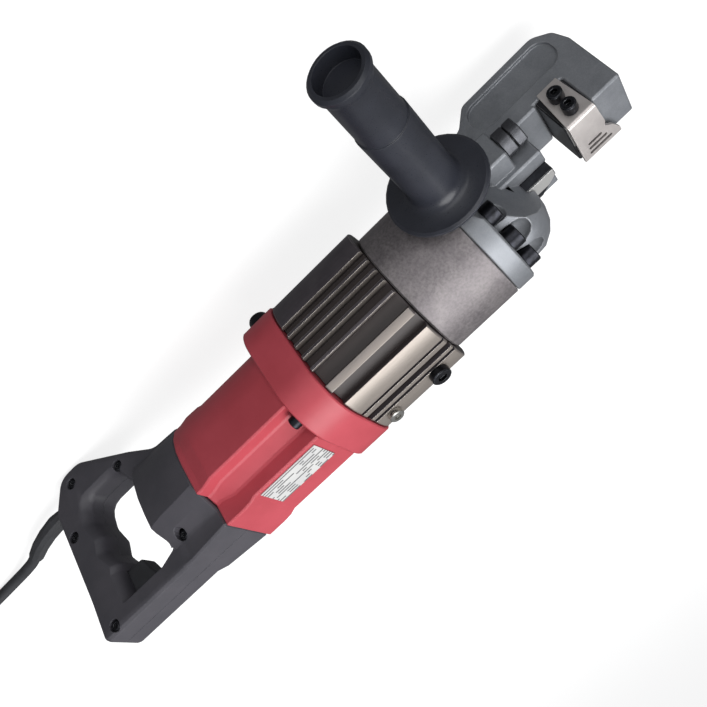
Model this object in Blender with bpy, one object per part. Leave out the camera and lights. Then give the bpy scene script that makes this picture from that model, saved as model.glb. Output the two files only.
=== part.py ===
"""Hand-held electro-hydraulic cutter for reinforcing bar.

The ram pushes a moving cutter along X against a fixed cutter in a C-shaped jaw. The bar lies in the
mouth, along Y. All sizes are in millimetres in the tool's own axes: X along the ram towards the jaw,
Y to the left, Z up, with X = 0 at the joint between the pump casing and the cylinder and Y = Z = 0 on
the ram's axis. The empty "tool_frame" lifts them into the standing frame.
"""
import math

import bmesh
import bpy
from mathutils import Matrix, Vector

MM = 0.001
GAP = 0.3              # between pieces that touch
FIT = 0.3              # round a shank, shaft or stem in its hole

# cylinder and head flange
CYLINDER_RADIUS = 43.3
CYLINDER_LENGTH = 48.5
CYLINDER_BORE = 26.0
CYLINDER_END_WALL = 7.0
OIL_PORT_RADIUS = 2.5
FLANGE_THICKNESS = 13.0
FLANGE_BOLT_CIRCLE = 36.0
FLANGE_BOLT_ANGLES = (33, 63, 93, 147, 207, 333)
BOLT_SHANK = 3.9
BOLT_HEAD_RADIUS = 6.5
BOLT_HEAD_HEIGHT = 8.0
BOLT_THREAD_DEPTH = 12.0

# jaw
NOSE_LENGTH = 32.0
NOSE_RADIUS = 36.0
NOSE_FLANK_REACH = 35.0    # from the flange's face to where the nose's flat flank would meet the axis
JAW_THICKNESS = 35.0
JAW_UNDERSIDE = -60.0
JAW_TIP_TOP = 3.5
THROAT_REACH = 48.0        # from the flange's face to the mouth
MOUTH_WIDTH = 16.5
SEAT_LENGTH = 21.0
TIP_LENGTH = 20.0
MOUTH_FLOOR = -20.0
CHEEK_TOP = 4.0
SEAT_FLOOR = -22.3
POCKET_DEPTH = 2.2

# ram
STROKE = 16.0
PISTON_THICKNESS = 11.0
RAM_RADIUS = 14.7
RAM_BORE_REACH = 22.5      # from the flange's face to the end of the ram's bore
BLADE_HALF_WIDTH = 7.0
BLADE_HALF_HEIGHT = 11.0
BLADE_CLEARANCE = 1.5      # left between the blades at full stroke
SPRING_RADIUS = 18.2
SPRING_WIRE = 1.3
SPRING_TURNS = 4
SPRING_POCKET_RADIUS = 21.0

# guard and stopper
GUARD_THICKNESS = 1.8
GUARD_REACH = 37.0
GUARD_CLEARANCE = 2.4      # under the guard's leaf, above the fixed cutter
GUARD_OVERHANG = 7.0       # of the leaf past the front of the seat
CUTTER_SCREW_HEIGHTS = (-12.6, -0.6)
CUTTER_SCREW_HEAD = 4.6
STOPPER_Z = -11.0
STOPPER_HEX = 8.0
STOPPER_SHANK = 5.0
STOPPER_BOSS_REACH = 33.0  # from the flange's face to the boss's front

# pump casing and gear room
CASING_LENGTH = 65.0
CASING_HALF_WIDTH = 44.0
CASING_HALF_HEIGHT = 45.0
CASING_CORNER = 30.0
CASING_ROOM_RADIUS = 34.0
CASING_FRONT_WALL = 7.0
GROOVE_DEPTH = 4.5
CORNER_GROOVE = ((43, 28.2), (60, 25.6), (60, 40), (44.5, 40.5))    # radius and angle, from +Y towards +Z
RIB_GROOVE = ((45, 46.5), (60, 46), (60, 58), (44, 57.5))
PLUG_X = -17.7
PLUG_SHANK = 3.6
VENT_SHANK = 2.4
TOP_FASTENER_Y = -14.5
PUMP_BLOCK_LENGTH = 27.0
MODULE = 0.8
PINION_TEETH = 10
GEAR_TEETH = 36
SHAFT_RADIUS = 5.0
LOBE_RADIUS = 7.5
LOBE_OFFSET = 1.2
PLUNGER_RADIUS = 2.95

# collar and motor
COLLAR_LENGTH = 24.0
COLLAR_WALL_RADIUS = 38.5
COLLAR_BOLT_Y = 12.0
HOUSING_LENGTH = 77.0
HOUSING_RADIUS = 39.0
HOUSING_HALF_WIDTH = 40.0
HOUSING_ROOM_RADIUS = 36.3
LEDGE_HEIGHT = 24.5
LEDGE_WIDTH = 10.0
TOP_HALF_WIDTH = 22.0
TOP_HEIGHT = 43.0
STATOR_RADIUS = 35.5
STATOR_BORE = 21.0
ROTOR_RADIUS = 20.0
ARMATURE_RADIUS = 4.0
HOUSING_SCREW_OFFSET = 31.5

# rear handle
SHELL_LENGTH = 45.0
OPENING_WIDTH = 44.0
GRIP_DEPTH = 24.0
HANDLE_FOOT = -79.5
HANDLE_HALF_WIDTH = 16.0
BAR_UNDERSIDE = 30.0
BAR_TOP = 43.5
OPENING_FLOOR = -50.5
OPENING_FLARE = 6.5        # how far the rounded grip falls away at its faces
SHELL_HALF_WIDTH = 36.0
SHELL_WALL = 3.0
TRIGGER_HALF_WIDTH = 6.0
TRIGGER_LOW = 9.0
TRIGGER_HIGH = 28.0

# side handle
SIDE_HUB_LENGTH = 9.2
SIDE_DISC_THICKNESS = 4.5
SIDE_DISC_RADIUS = 30.2
SIDE_GRIP_RADIUS = 15.2
SIDE_GRIP_END = 161.7
SIDE_BORE_RADIUS = 12.7
SIDE_BORE_DEPTH = 9.0
SIDE_SPLIT_SHARE = 0.6     # where along the grip its two sections meet
STUD_RADIUS = 4.7

# mains lead
CORD_RADIUS = 4.2
RELIEF_OFFSETS = ((13, 0), (0, 0), (-13, -0.6), (-26, -2.5), (-38, -6), (-48, -10.5))    # from the grip
RELIEF_HEIGHT = -66.0
RELIEF_RADII = (4.6, 4.8, 6.6, 6.2, 5.8, 5.4)
CORD_POINTS = (
    (-328.2, -11.0, -66.1),
    (-337.0, -14.9, -67.4),
    (-347.0, -19.0, -70.0),
    (-364.0, -24.2, -73.6),
    (-390.0, -26.6, -75.1),
    (-423.0, -26.6, -75.1),
)
COIL_CENTRE = (-455.0, 28.0)
COIL_RADIUS = 46.0
COIL_LAYERS = 2
COIL_COLUMNS = 3
PLUG_START = 60.0
PLUG_LENGTH = 46.0
PLUG_THICKNESS = 17.0
PIN_RADIUS = 2.4

# what follows from the sizes above
HEAD_FACE = CYLINDER_LENGTH + FLANGE_THICKNESS
MOUTH_REAR = HEAD_FACE + THROAT_REACH
MOUTH_FRONT = MOUTH_REAR + MOUTH_WIDTH
SEAT_FRONT = MOUTH_FRONT + SEAT_LENGTH
JAW_FRONT = SEAT_FRONT + TIP_LENGTH
NOSE_FLANK = HEAD_FACE + NOSE_FLANK_REACH
RAM_BORE_END = HEAD_FACE + RAM_BORE_REACH
RAM_END = RAM_BORE_END - 4.0
BLADE_TIP = MOUTH_FRONT - STROKE - BLADE_CLEARANCE
SPRING_POCKET_END = HEAD_FACE - 1.5
GUARD_LEG_END = (MOUTH_FRONT + 4.4, SEAT_FRONT - 2.6)
GUARD_FOLD = (MOUTH_FRONT + 1.3, SEAT_FRONT - 1.0)
GUARD_FRONT = SEAT_FRONT + GUARD_OVERHANG
STOPPER_Y = JAW_THICKNESS / 2 + STOPPER_HEX + 0.7
STOPPER_BOSS_END = HEAD_FACE + STOPPER_BOSS_REACH
VENT_X = 11.7 - CASING_LENGTH
HOUSING_REAR = -CASING_LENGTH - COLLAR_LENGTH - HOUSING_LENGTH
OPENING_FRONT = HOUSING_REAR - SHELL_LENGTH
OPENING_REAR = OPENING_FRONT - OPENING_WIDTH
HANDLE_REAR = OPENING_REAR - GRIP_DEPTH
HANDLE_SCREWS = (
    (OPENING_FRONT - 8, -51, HANDLE_HALF_WIDTH),
    (OPENING_REAR - 2, -68, HANDLE_HALF_WIDTH),
    (OPENING_FRONT + 15, 26, 19),
    (HANDLE_REAR + 11, 38, HANDLE_HALF_WIDTH),
    (HANDLE_REAR + 8, -33, HANDLE_HALF_WIDTH),
)
SIDE_HANDLE_X = CYLINDER_LENGTH + FLANGE_THICKNESS / 2
SIDE_HUB_START = CYLINDER_RADIUS + 0.5
SIDE_DISC_Y = SIDE_HUB_START + SIDE_HUB_LENGTH
BARREL_AXIS_HEIGHT = -HANDLE_FOOT
CENTRE_X = (HANDLE_REAR + JAW_FRONT) / 2
CENTRE_Y = (SIDE_GRIP_END - CASING_HALF_WIDTH - 1.0) / 2

LOOKS = {
    "gunmetal": ((0.085, 0.093, 0.104), 0.42, 0.9),
    "satin_steel": ((0.30, 0.29, 0.28), 0.38, 1.0),
    "bright_aluminium": ((0.58, 0.55, 0.52), 0.3, 1.0),
    "black_oxide": ((0.018, 0.018, 0.02), 0.42, 0.6),
    "bright_steel": ((0.62, 0.61, 0.6), 0.25, 1.0),
    "red_shell": ((0.55, 0.05, 0.06), 0.4, 0.0),
    "black_shell": ((0.03, 0.032, 0.036), 0.5, 0.0),
    "black_rubber": ((0.022, 0.022, 0.024), 0.7, 0.0),
    "copper": ((0.72, 0.3, 0.16), 0.35, 1.0),
    "white_label": ((0.75, 0.75, 0.74), 0.5, 0.0),
    "brass": ((0.72, 0.5, 0.18), 0.3, 1.0),
}


# helpers
def look(name):
    """A Principled material from the table of looks, made once and then shared."""
    if name not in bpy.data.materials:
        color, roughness, metallic = LOOKS[name]
        material = bpy.data.materials.new(name)
        material.use_nodes = True
        shader = material.node_tree.nodes["Principled BSDF"]
        shader.inputs["Base Color"].default_value = (*color, 1.0)
        shader.inputs["Roughness"].default_value = roughness
        shader.inputs["Metallic"].default_value = metallic
        material.diffuse_color = (*color, 1.0)
    return bpy.data.materials[name]


def make_object(name, shape, material, origin=(0, 0, 0)):
    """Turn a bmesh in millimetres into an object in the tool frame, with its origin at origin."""
    bmesh.ops.remove_doubles(shape, verts=shape.verts, dist=1e-4)
    bmesh.ops.recalc_face_normals(shape, faces=shape.faces)
    bmesh.ops.transform(shape, matrix=Matrix.Scale(MM, 4) @ Matrix.Translation(-Vector(origin)), verts=shape.verts)
    mesh = bpy.data.meshes.new(name)
    shape.to_mesh(mesh)
    shape.free()
    mesh.shade_smooth()
    mesh.set_sharp_from_angle(angle=math.radians(32))
    mesh.materials.append(material)
    obj = bpy.data.objects.new(name, mesh)
    bpy.context.collection.objects.link(obj)
    obj.location = Vector(origin) * MM
    frame = bpy.data.objects.get("tool_frame")
    obj.parent = frame
    return obj


def on_axis(axis, along, first, second):
    """The point at a distance along an axis, with the other two coordinates in X, Y, Z order."""
    if axis == "X":
        return (along, first, second)
    if axis == "Y":
        return (first, along, second)
    return (first, second, along)


def turned(name, profile, material, axis="X", centre=(0, 0), steps=32, origin=(0, 0, 0)):
    """A solid of revolution from (along, radius) points; a profile off the axis closes on itself."""
    shape = bmesh.new()
    points = [shape.verts.new(on_axis(axis, along, centre[0] + radius, centre[1])) for along, radius in profile]
    edges = [shape.edges.new(pair) for pair in zip(points, points[1:])]
    if profile[0][1] > 0 and profile[-1][1] > 0:
        edges.append(shape.edges.new((points[-1], points[0])))
    direction = on_axis(axis, 1, 0, 0)
    middle = on_axis(axis, 0, *centre)
    bmesh.ops.spin(shape, geom=points + edges, cent=middle, axis=direction, angle=2 * math.pi, steps=steps,
                   use_merge=True)
    return make_object(name, shape, material, origin)


def rod(name, axis, start, end, radius, material, centre=(0, 0), steps=24, chamfer=0.0, origin=(0, 0, 0)):
    """A plain round bar, chamfered at both ends when asked."""
    profile = [(start, 0), (start, radius - chamfer), (start + chamfer, radius)]
    profile += [(end - chamfer, radius), (end, radius - chamfer), (end, 0)]
    if not chamfer:
        profile = [(start, 0), (start, radius), (end, radius), (end, 0)]
    return turned(name, profile, material, axis, centre, steps, origin)


def prism(name, outline, axis, start, end, material, origin=(0, 0, 0)):
    """An outline in the plane across an axis, extruded from start to end."""
    shape = bmesh.new()
    points = [shape.verts.new(on_axis(axis, start, *point)) for point in outline]
    face = shape.faces.new(points)
    grown = bmesh.ops.extrude_face_region(shape, geom=[face])
    moved = [item for item in grown["geom"] if isinstance(item, bmesh.types.BMVert)]
    bmesh.ops.translate(shape, verts=moved, vec=on_axis(axis, end - start, 0, 0))
    return make_object(name, shape, material, origin)


def block(name, low, high, material, origin=(0, 0, 0)):
    """A box between two corners."""
    outline = ((low[1], low[2]), (high[1], low[2]), (high[1], high[2]), (low[1], high[2]))
    return prism(name, outline, "X", low[0], high[0], material, origin)


def lofted(name, sections, material, axis="X"):
    """A solid through closed sections of equal point count, each given as (distance along the axis, outline)."""
    shape = bmesh.new()
    rings = [[shape.verts.new(on_axis(axis, along, *point)) for point in outline] for along, outline in sections]
    count = len(rings[0])
    for ring, after in zip(rings, rings[1:]):
        for index in range(count):
            follow = (index + 1) % count
            shape.faces.new((ring[index], ring[follow], after[follow], after[index]))
    shape.faces.new(rings[0])
    shape.faces.new(rings[-1])
    return make_object(name, shape, material)


def rounded(corners, steps=5):
    """An outline whose corners (a, b, radius) are arcs; a radius of 0 keeps the corner sharp."""
    outline = []
    for index, (a, b, radius) in enumerate(corners):
        here = Vector((a, b))
        if not radius:
            outline.append(tuple(here))
            continue
        before = (Vector(corners[index - 1][:2]) - here).normalized()
        after = (Vector(corners[(index + 1) % len(corners)][:2]) - here).normalized()
        half = before.angle(after) / 2
        middle = here + (before + after).normalized() * radius / math.sin(half)
        start = here + before * radius / math.tan(half) - middle
        sweep = start.angle_signed(here + after * radius / math.tan(half) - middle)
        for step in range(steps + 1):
            angle = -sweep * step / steps
            turned_point = Matrix.Rotation(angle, 2) @ start
            outline.append(tuple(middle + turned_point))
    return outline


def circle(radius, steps=24, centre=(0, 0), start=0.0):
    """The points of a circle, anticlockwise."""
    angles = [start + 2 * math.pi * step / steps for step in range(steps)]
    return [(centre[0] + radius * math.cos(angle), centre[1] + radius * math.sin(angle)) for angle in angles]


def combine(target, others, operation):
    """Boolean modifiers on target; the other objects become hidden tools."""
    for index, other in enumerate(others):
        other.hide_render = True
        other.display_type = "WIRE"
        modifier = target.modifiers.new(f"{operation.lower()}_{index}", "BOOLEAN")
        modifier.operation = operation
        modifier.solver = "EXACT"
        modifier.object = other
    return target


def cut(target, *tools):
    return combine(target, tools, "DIFFERENCE")


def join(target, *parts):
    return combine(target, parts, "UNION")


def ease(target, width, segments=1):
    """Break the sharp edges before any Boolean."""
    bevel = target.modifiers.new("eased_edges", "BEVEL")
    bevel.width = width * MM
    bevel.segments = segments
    bevel.limit_method = "ANGLE"
    bevel.angle_limit = math.radians(40)
    return target


def polar(radius, degrees):
    """Y and Z of a point at an angle from +Y towards +Z."""
    angle = math.radians(degrees)
    return (radius * math.cos(angle), radius * math.sin(angle))


def socket_screw(name, axis, seat, end, head, shank, centre, material, steps=20):
    """A socket-head screw whose head stands from seat, away from end; both are along its axis."""
    outward = 1 if seat > end else -1
    top = seat + outward * head[1]
    profile = [(end, 0), (end, shank), (seat, shank), (seat, head[0]), (top - outward * 0.6, head[0])]
    profile += [(top, head[0] - 0.6), (top, 0)]
    screw = turned(name, profile, material, axis, centre, steps)
    floor = top - outward * head[1] * 0.5
    hexagon = circle(head[0] * 0.52, 6, centre)
    low, high = sorted((floor, top + outward))
    cut(screw, prism(name + "_socket", hexagon, axis, low, high, material))
    return screw


# head
def jaw_outline():
    """The jaw's side view, from the flange round the spine and the tip to the ram's cheeks."""
    return rounded([
        (CYLINDER_LENGTH + 4, -38, 0),
        (HEAD_FACE, -38, 0),
        (HEAD_FACE + 27, -49, 5),
        (HEAD_FACE + 37.5, JAW_UNDERSIDE, 6),
        (JAW_FRONT - 13, JAW_UNDERSIDE, 9),
        (JAW_FRONT - 3, JAW_UNDERSIDE + 8, 7),
        (JAW_FRONT + 0.4, JAW_UNDERSIDE + 20, 8),
        (JAW_FRONT, JAW_TIP_TOP, 1.5),
        (SEAT_FRONT, JAW_TIP_TOP, 0),
        (SEAT_FRONT, SEAT_FLOOR, 1.5),
        (MOUTH_FRONT, SEAT_FLOOR, 0),
        (MOUTH_FRONT, MOUTH_FLOOR, 0),
        (MOUTH_REAR, MOUTH_FLOOR, 3),
        (MOUTH_REAR, CHEEK_TOP, 1),
        (HEAD_FACE + 8.5, CHEEK_TOP, 0),
        (CYLINDER_LENGTH + 4, CHEEK_TOP, 0),
    ])


def jaw_pocket(name, side, material):
    """The shallow racetrack recess in one side of the spine."""
    rear = HEAD_FACE + 33.5
    front = JAW_FRONT - 9
    outline = rounded([(rear, -54.5, 9), (front, -54.5, 9), (front, -33, 9), (rear, -33, 9)], 6)
    half = JAW_THICKNESS / 2
    inner = side * (half - POCKET_DEPTH)
    outer = side * (half + 5)
    return prism(name, outline, "Y", min(inner, outer), max(inner, outer), material)


def head():
    metal = look("gunmetal")
    half = JAW_THICKNESS / 2
    jaw = ease(prism("head_frame", jaw_outline(), "Y", -half, half, metal), 1.2)
    start = CYLINDER_LENGTH + GAP
    face = HEAD_FACE
    tip = face + NOSE_LENGTH
    flange = turned("flange_solid", [
        (start, 0), (start, CYLINDER_RADIUS - 0.8), (start + 0.8, CYLINDER_RADIUS),
        (face - 1.2, CYLINDER_RADIUS), (face, CYLINDER_RADIUS - 1.2), (face, 33),
        (face + 8, NOSE_RADIUS), (face + 16, NOSE_RADIUS - 0.8), (face + 23, NOSE_RADIUS - 5),
        (face + 27.5, NOSE_RADIUS - 10), (face + 30.5, NOSE_RADIUS - 17), (tip, NOSE_RADIUS - 26), (tip, 0),
    ], metal, steps=48)
    cut(flange, prism("nose_flank", [(NOSE_FLANK - 46, 46), (NOSE_FLANK, 0), (NOSE_FLANK + 20, 0), (tip + 12, 46)],
                      "Z", -46, 46, metal))
    boss = ease(block("stopper_boss", (HEAD_FACE + 15.5, half - 3, STOPPER_Z - 11),
                      (STOPPER_BOSS_END, half + 15.5, 0), metal), 1)
    join(jaw, flange, boss)

    tools = [turned("ram_room", [
        (start - 2, 0), (start - 2, SPRING_POCKET_RADIUS), (SPRING_POCKET_END, SPRING_POCKET_RADIUS),
        (SPRING_POCKET_END, RAM_RADIUS + FIT), (RAM_BORE_END, RAM_RADIUS + FIT), (RAM_BORE_END, 0),
    ], metal, steps=32)]
    slot_width = BLADE_HALF_WIDTH + GAP
    slot_height = BLADE_HALF_HEIGHT + GAP
    tools.append(block("blade_slot", (SPRING_POCKET_END - 1, -slot_width, -slot_height),
                       (MOUTH_REAR + 3, slot_width, slot_height), metal))
    for index, degrees in enumerate(FLANGE_BOLT_ANGLES):
        profile = [(start - 2, 0), (start - 2, BOLT_SHANK + FIT), (face, BOLT_SHANK + FIT),
                   (face, BOLT_HEAD_RADIUS + 0.8), (face + 9, BOLT_HEAD_RADIUS + 0.8),
                   (face + 13, BOLT_HEAD_RADIUS - 0.5), (face + 16, BOLT_HEAD_RADIUS - 3.5), (face + 17, 0)]
        centre = polar(FLANGE_BOLT_CIRCLE, degrees)
        tools.append(turned(f"bolt_room_{index}", profile, metal, centre=centre, steps=16))
    for side in (-1, 1):
        tools.append(jaw_pocket(f"pocket_{side}", side, metal))
    seat = CYLINDER_RADIUS - 0.7
    hole = [(30, 0), (30, STUD_RADIUS + FIT), (seat, STUD_RADIUS + FIT), (seat, 14), (seat + 7, 14), (seat + 7, 0)]
    tools.append(turned("stud_hole", hole, metal, "Y", (SIDE_HANDLE_X, 0), 20))
    tools.append(rod("stopper_hole", "X", HEAD_FACE + 18.5, STOPPER_BOSS_END + 4, STOPPER_SHANK + FIT, metal,
                     (STOPPER_Y, STOPPER_Z), 20))
    cut(jaw, *tools)


def cutters():
    steel = look("black_oxide")
    half = JAW_THICKNESS / 2
    fixed = ease(block("cutter_fixed", (MOUTH_FRONT + GAP, -half, SEAT_FLOOR + GAP),
                       (SEAT_FRONT - GAP, half, CHEEK_TOP + 0.4), steel), 0.8)
    middle = (SEAT_FRONT + MOUTH_FRONT) / 2
    holes = []
    for index, height in enumerate(CUTTER_SCREW_HEIGHTS):
        holes.append(rod(f"fixed_hole_{index}", "Y", half - 14, half + 2, 2.5 + FIT, steel, (middle, height), 16))
    cut(fixed, *holes)
    outline = ((RAM_END + GAP, BLADE_HALF_WIDTH), (BLADE_TIP, BLADE_HALF_WIDTH), (BLADE_TIP, 0.5),
               (BLADE_TIP - 12.5, -BLADE_HALF_WIDTH), (RAM_END + GAP, -BLADE_HALF_WIDTH))
    ease(prism("cutter_moving", outline, "Z", -BLADE_HALF_HEIGHT, BLADE_HALF_HEIGHT, steel), 0.5)


def guard():
    """A bent sheet: a tapering leg on the left cheek, and a leaf with slots over the fixed cutter."""
    steel = look("satin_steel")
    side = JAW_THICKNESS / 2 + GAP
    outer = side + GUARD_THICKNESS
    low = SEAT_FLOOR - 1.5
    fold = CHEEK_TOP + GUARD_CLEARANCE
    top = fold + GUARD_THICKNESS
    far = outer - GUARD_REACH
    outline = rounded([(side, low, 0), (outer, low, 0), (outer, top, 2.0), (far, top, 0), (far, fold, 0),
                       (side, fold, 0.4)], 3)
    plate = prism("guard_plate", outline, "X", GUARD_FOLD[0], GUARD_FRONT, steel)
    rear, front = GUARD_FOLD
    ends = GUARD_LEG_END
    tools = [
        prism("leg_taper_rear", [(rear - 2, side - 1), (rear - 2, low - 2), (ends[0], low - 2), (ends[0], low),
                                 (rear, fold - 1), (rear - 2, fold - 1)], "Y", side - 2, outer + 2, steel),
        prism("leg_taper_front", [(ends[1], low - 2), (GUARD_FRONT + 2, low - 2), (GUARD_FRONT + 2, fold - 1),
                                  (front, fold - 1), (ends[1], low)], "Y", side - 2, outer + 2, steel),
        prism("leaf_front", [(front, outer + 2), (front, outer), (front + 1.5, 1), (front + 0.2, -2.5),
                             (front + 4.7, -7), (GUARD_FRONT, far + 3.5), (GUARD_FRONT, far - 2),
                             (GUARD_FRONT + 4, far - 2), (GUARD_FRONT + 4, outer + 2)], "Z", fold - 1, top + 2, steel),
    ]
    for index in range(3):
        across = -5.5 - index * 4.0
        reach = 5.0 + index * 1.6
        centre = MOUTH_FRONT + 12 + index
        slot = rounded([(centre - reach, across - 1.1, 1), (centre + reach, across - 1.1, 1),
                        (centre + reach, across + 1.1, 1), (centre - reach, across + 1.1, 1)], 2)
        tools.append(prism(f"guard_slot_{index}", slot, "Z", fold - 2, top + 2, steel))
    middle = (SEAT_FRONT + MOUTH_FRONT) / 2
    for index, height in enumerate(CUTTER_SCREW_HEIGHTS):
        tools.append(rod(f"guard_hole_{index}", "Y", side - 2, outer + 2, 2.5 + FIT, steel, (middle, height), 16))
        socket_screw(f"cutter_screw_{index + 1}", "Y", outer + GAP, JAW_THICKNESS / 2 - 12, (CUTTER_SCREW_HEAD, 6.2),
                     2.5, (middle, height), look("black_oxide"), 16)
    cut(plate, *tools)


def stopper():
    steel = look("black_oxide")
    corner = STOPPER_HEX / math.cos(math.pi / 6)
    centre = (STOPPER_Y, STOPPER_Z)
    nut = ease(prism("stopper_nut", circle(corner, 6, centre, math.pi / 6), "X", STOPPER_BOSS_END + GAP,
                     STOPPER_BOSS_END + 7.8, steel), 0.6)
    cut(nut, rod("nut_bore", "X", STOPPER_BOSS_END - 4, STOPPER_BOSS_END + 15, STOPPER_SHANK + FIT, steel,
                 centre, 20))
    start = STOPPER_BOSS_END + 8.3
    bolt = ease(prism("stopper_bolt", circle(corner, 6, centre, math.pi / 6), "X", start, start + 6.4, steel), 0.6)
    join(bolt, rod("stopper_shank", "X", HEAD_FACE + 22.5, start + 3, STOPPER_SHANK, steel, centre, 20, 0.8))


def head_bolts():
    steel = look("black_oxide")
    face = HEAD_FACE
    for index, degrees in enumerate(FLANGE_BOLT_ANGLES):
        socket_screw(f"head_bolt_{index + 1}", "X", face + GAP, CYLINDER_LENGTH - BOLT_THREAD_DEPTH + 1.5,
                     (BOLT_HEAD_RADIUS, BOLT_HEAD_HEIGHT), BOLT_SHANK, polar(FLANGE_BOLT_CIRCLE, degrees), steel)


# ram and cylinder
def ram():
    steel = look("bright_steel")
    rear = CYLINDER_END_WALL + 1.5
    front = rear + PISTON_THICKNESS
    neck = HEAD_FACE
    body = turned("ram", [
        (rear, 0), (rear, CYLINDER_BORE - 2.5), (rear + 1, CYLINDER_BORE - FIT), (front, CYLINDER_BORE - FIT),
        (front, RAM_RADIUS), (neck, RAM_RADIUS), (neck, 0),
    ], steel, steps=32)
    join(body, block("ram_nose", (neck - 3, -BLADE_HALF_WIDTH, -BLADE_HALF_HEIGHT),
                     (RAM_END, BLADE_HALF_WIDTH, BLADE_HALF_HEIGHT), steel))
    spring = bpy.data.curves.new("return_spring", "CURVE")
    coil(spring, front + GAP + SPRING_WIRE, SPRING_POCKET_END - GAP - SPRING_WIRE, SPRING_RADIUS, SPRING_TURNS, 12)
    curve_object("return_spring", spring, SPRING_WIRE, 1, steel)


def coil(curve, start, end, radius, turns, per_turn, centre=(0, 0)):
    """A helix along X, written into a curve as one poly spline in millimetres."""
    count = turns * per_turn + 1
    points = []
    for index in range(count):
        angle = 2 * math.pi * index / per_turn
        along = start + (end - start) * index / (count - 1)
        points.append((along, centre[0] + radius * math.cos(angle), centre[1] + radius * math.sin(angle)))
    poly(curve, points)


def poly(curve, points):
    spline = curve.splines.new("POLY")
    spline.points.add(len(points) - 1)
    for target, point in zip(spline.points, points):
        target.co = (*(Vector(point) * MM), 1.0)


def curve_object(name, curve, radius, resolution, material):
    """A tube of a radius in millimetres along a curve, with filled ends."""
    curve.dimensions = "3D"
    curve.bevel_depth = radius * MM
    curve.bevel_resolution = resolution
    curve.use_fill_caps = True
    curve.materials.append(material)
    obj = bpy.data.objects.new(name, curve)
    bpy.context.collection.objects.link(obj)
    obj.parent = bpy.data.objects.get("tool_frame")
    return obj


def cylinder():
    metal = look("satin_steel")
    body = turned("cylinder_housing", [
        (GAP, OIL_PORT_RADIUS), (GAP, CYLINDER_RADIUS - 1.2), (GAP + 1.2, CYLINDER_RADIUS),
        (CYLINDER_LENGTH - 0.6, CYLINDER_RADIUS), (CYLINDER_LENGTH, CYLINDER_RADIUS - 0.6),
        (CYLINDER_LENGTH, CYLINDER_BORE), (CYLINDER_END_WALL, CYLINDER_BORE), (CYLINDER_END_WALL, OIL_PORT_RADIUS),
    ], metal, steps=48)
    holes = []
    for index, degrees in enumerate(FLANGE_BOLT_ANGLES):
        holes.append(rod(f"thread_{index}", "X", CYLINDER_LENGTH - BOLT_THREAD_DEPTH, CYLINDER_LENGTH + 2,
                         BOLT_SHANK + FIT, metal, polar(FLANGE_BOLT_CIRCLE, degrees), 16))
    cut(body, *holes)


# pump casing
def casing_section(half_width, half_height, corner):
    return rounded([(half_width, half_height, corner), (-half_width, half_height, corner),
                    (-half_width, -half_height, corner), (half_width, -half_height, corner)], 8)


def casing_groove(name, side, low, high, material):
    """A longitudinal groove: on the sides (side is +1 or -1 in Y) or on the top (side 0)."""
    start = -CASING_LENGTH - 1
    end = 1
    if side:
        inner = side * (CASING_HALF_WIDTH - GROOVE_DEPTH)
        outer = side * (CASING_HALF_WIDTH + 5)
        outline = [(inner, low + 0.5), (outer, low), (outer, high), (inner, high - 0.5)]
    else:
        inner = CASING_HALF_HEIGHT - GROOVE_DEPTH
        outer = CASING_HALF_HEIGHT + 5
        outline = [(low + 0.5, inner), (low, outer), (high, outer), (high - 0.5, inner)]
    return prism(name, outline, "X", start, end, material)


def pump_casing():
    metal = look("bright_aluminium")
    section = casing_section(CASING_HALF_WIDTH, CASING_HALF_HEIGHT, CASING_CORNER)
    casing = ease(prism("pump_casing", section, "X", GAP - CASING_LENGTH, -GAP, metal), 0.8)
    tools = [turned("pump_room", [
        (-CASING_LENGTH - 2, 0), (-CASING_LENGTH - 2, CASING_ROOM_RADIUS), (-CASING_FRONT_WALL, CASING_ROOM_RADIUS),
        (-CASING_FRONT_WALL, OIL_PORT_RADIUS), (2, OIL_PORT_RADIUS), (2, 0),
    ], metal, steps=40)]
    side_grooves = ((-14.2, -7.4), (-6.0, 1.4), (2.8, 10.6), (12.0, 20.4))
    for side in (-1, 1):
        for index, (low, high) in enumerate(side_grooves):
            tools.append(casing_groove(f"side_groove_{side}_{index}", side, low, high, metal))
        outline = [polar(radius, angle) for radius, angle in CORNER_GROOVE]
        outline = [(side * y, z) for y, z in outline]
        tools.append(prism(f"corner_groove_{side}", outline, "X", -CASING_LENGTH - 1, 1, metal))
    rib_groove = [polar(radius, angle) for radius, angle in RIB_GROOVE]
    tools.append(prism("rib_groove", rib_groove, "X", -CASING_LENGTH - 1, 1, metal))
    top_grooves = ((7.4, 10.6), (-2.8, 3.8), (-8.8, -5.2))
    for index, (low, high) in enumerate(top_grooves):
        tools.append(casing_groove(f"top_groove_{index}", 0, low, high, metal))
    top = CASING_HALF_HEIGHT
    for index, (x, radius) in enumerate(((PLUG_X, PLUG_SHANK), (VENT_X, VENT_SHANK))):
        tools.append(rod(f"top_hole_{index}", "Z", top - 8, top + 3, radius + FIT, metal, (x, TOP_FASTENER_Y), 16))
    cut(casing, *tools)
    black = look("black_oxide")
    socket_screw("socket_plug", "Z", top + GAP, top - 7, (6.6, 4.6), PLUG_SHANK, (PLUG_X, TOP_FASTENER_Y), black)
    chrome = look("bright_steel")
    socket_screw("vent_screw", "Z", top + GAP, top - 7, (4.9, 3.6), VENT_SHANK, (VENT_X, TOP_FASTENER_Y), chrome)


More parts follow.
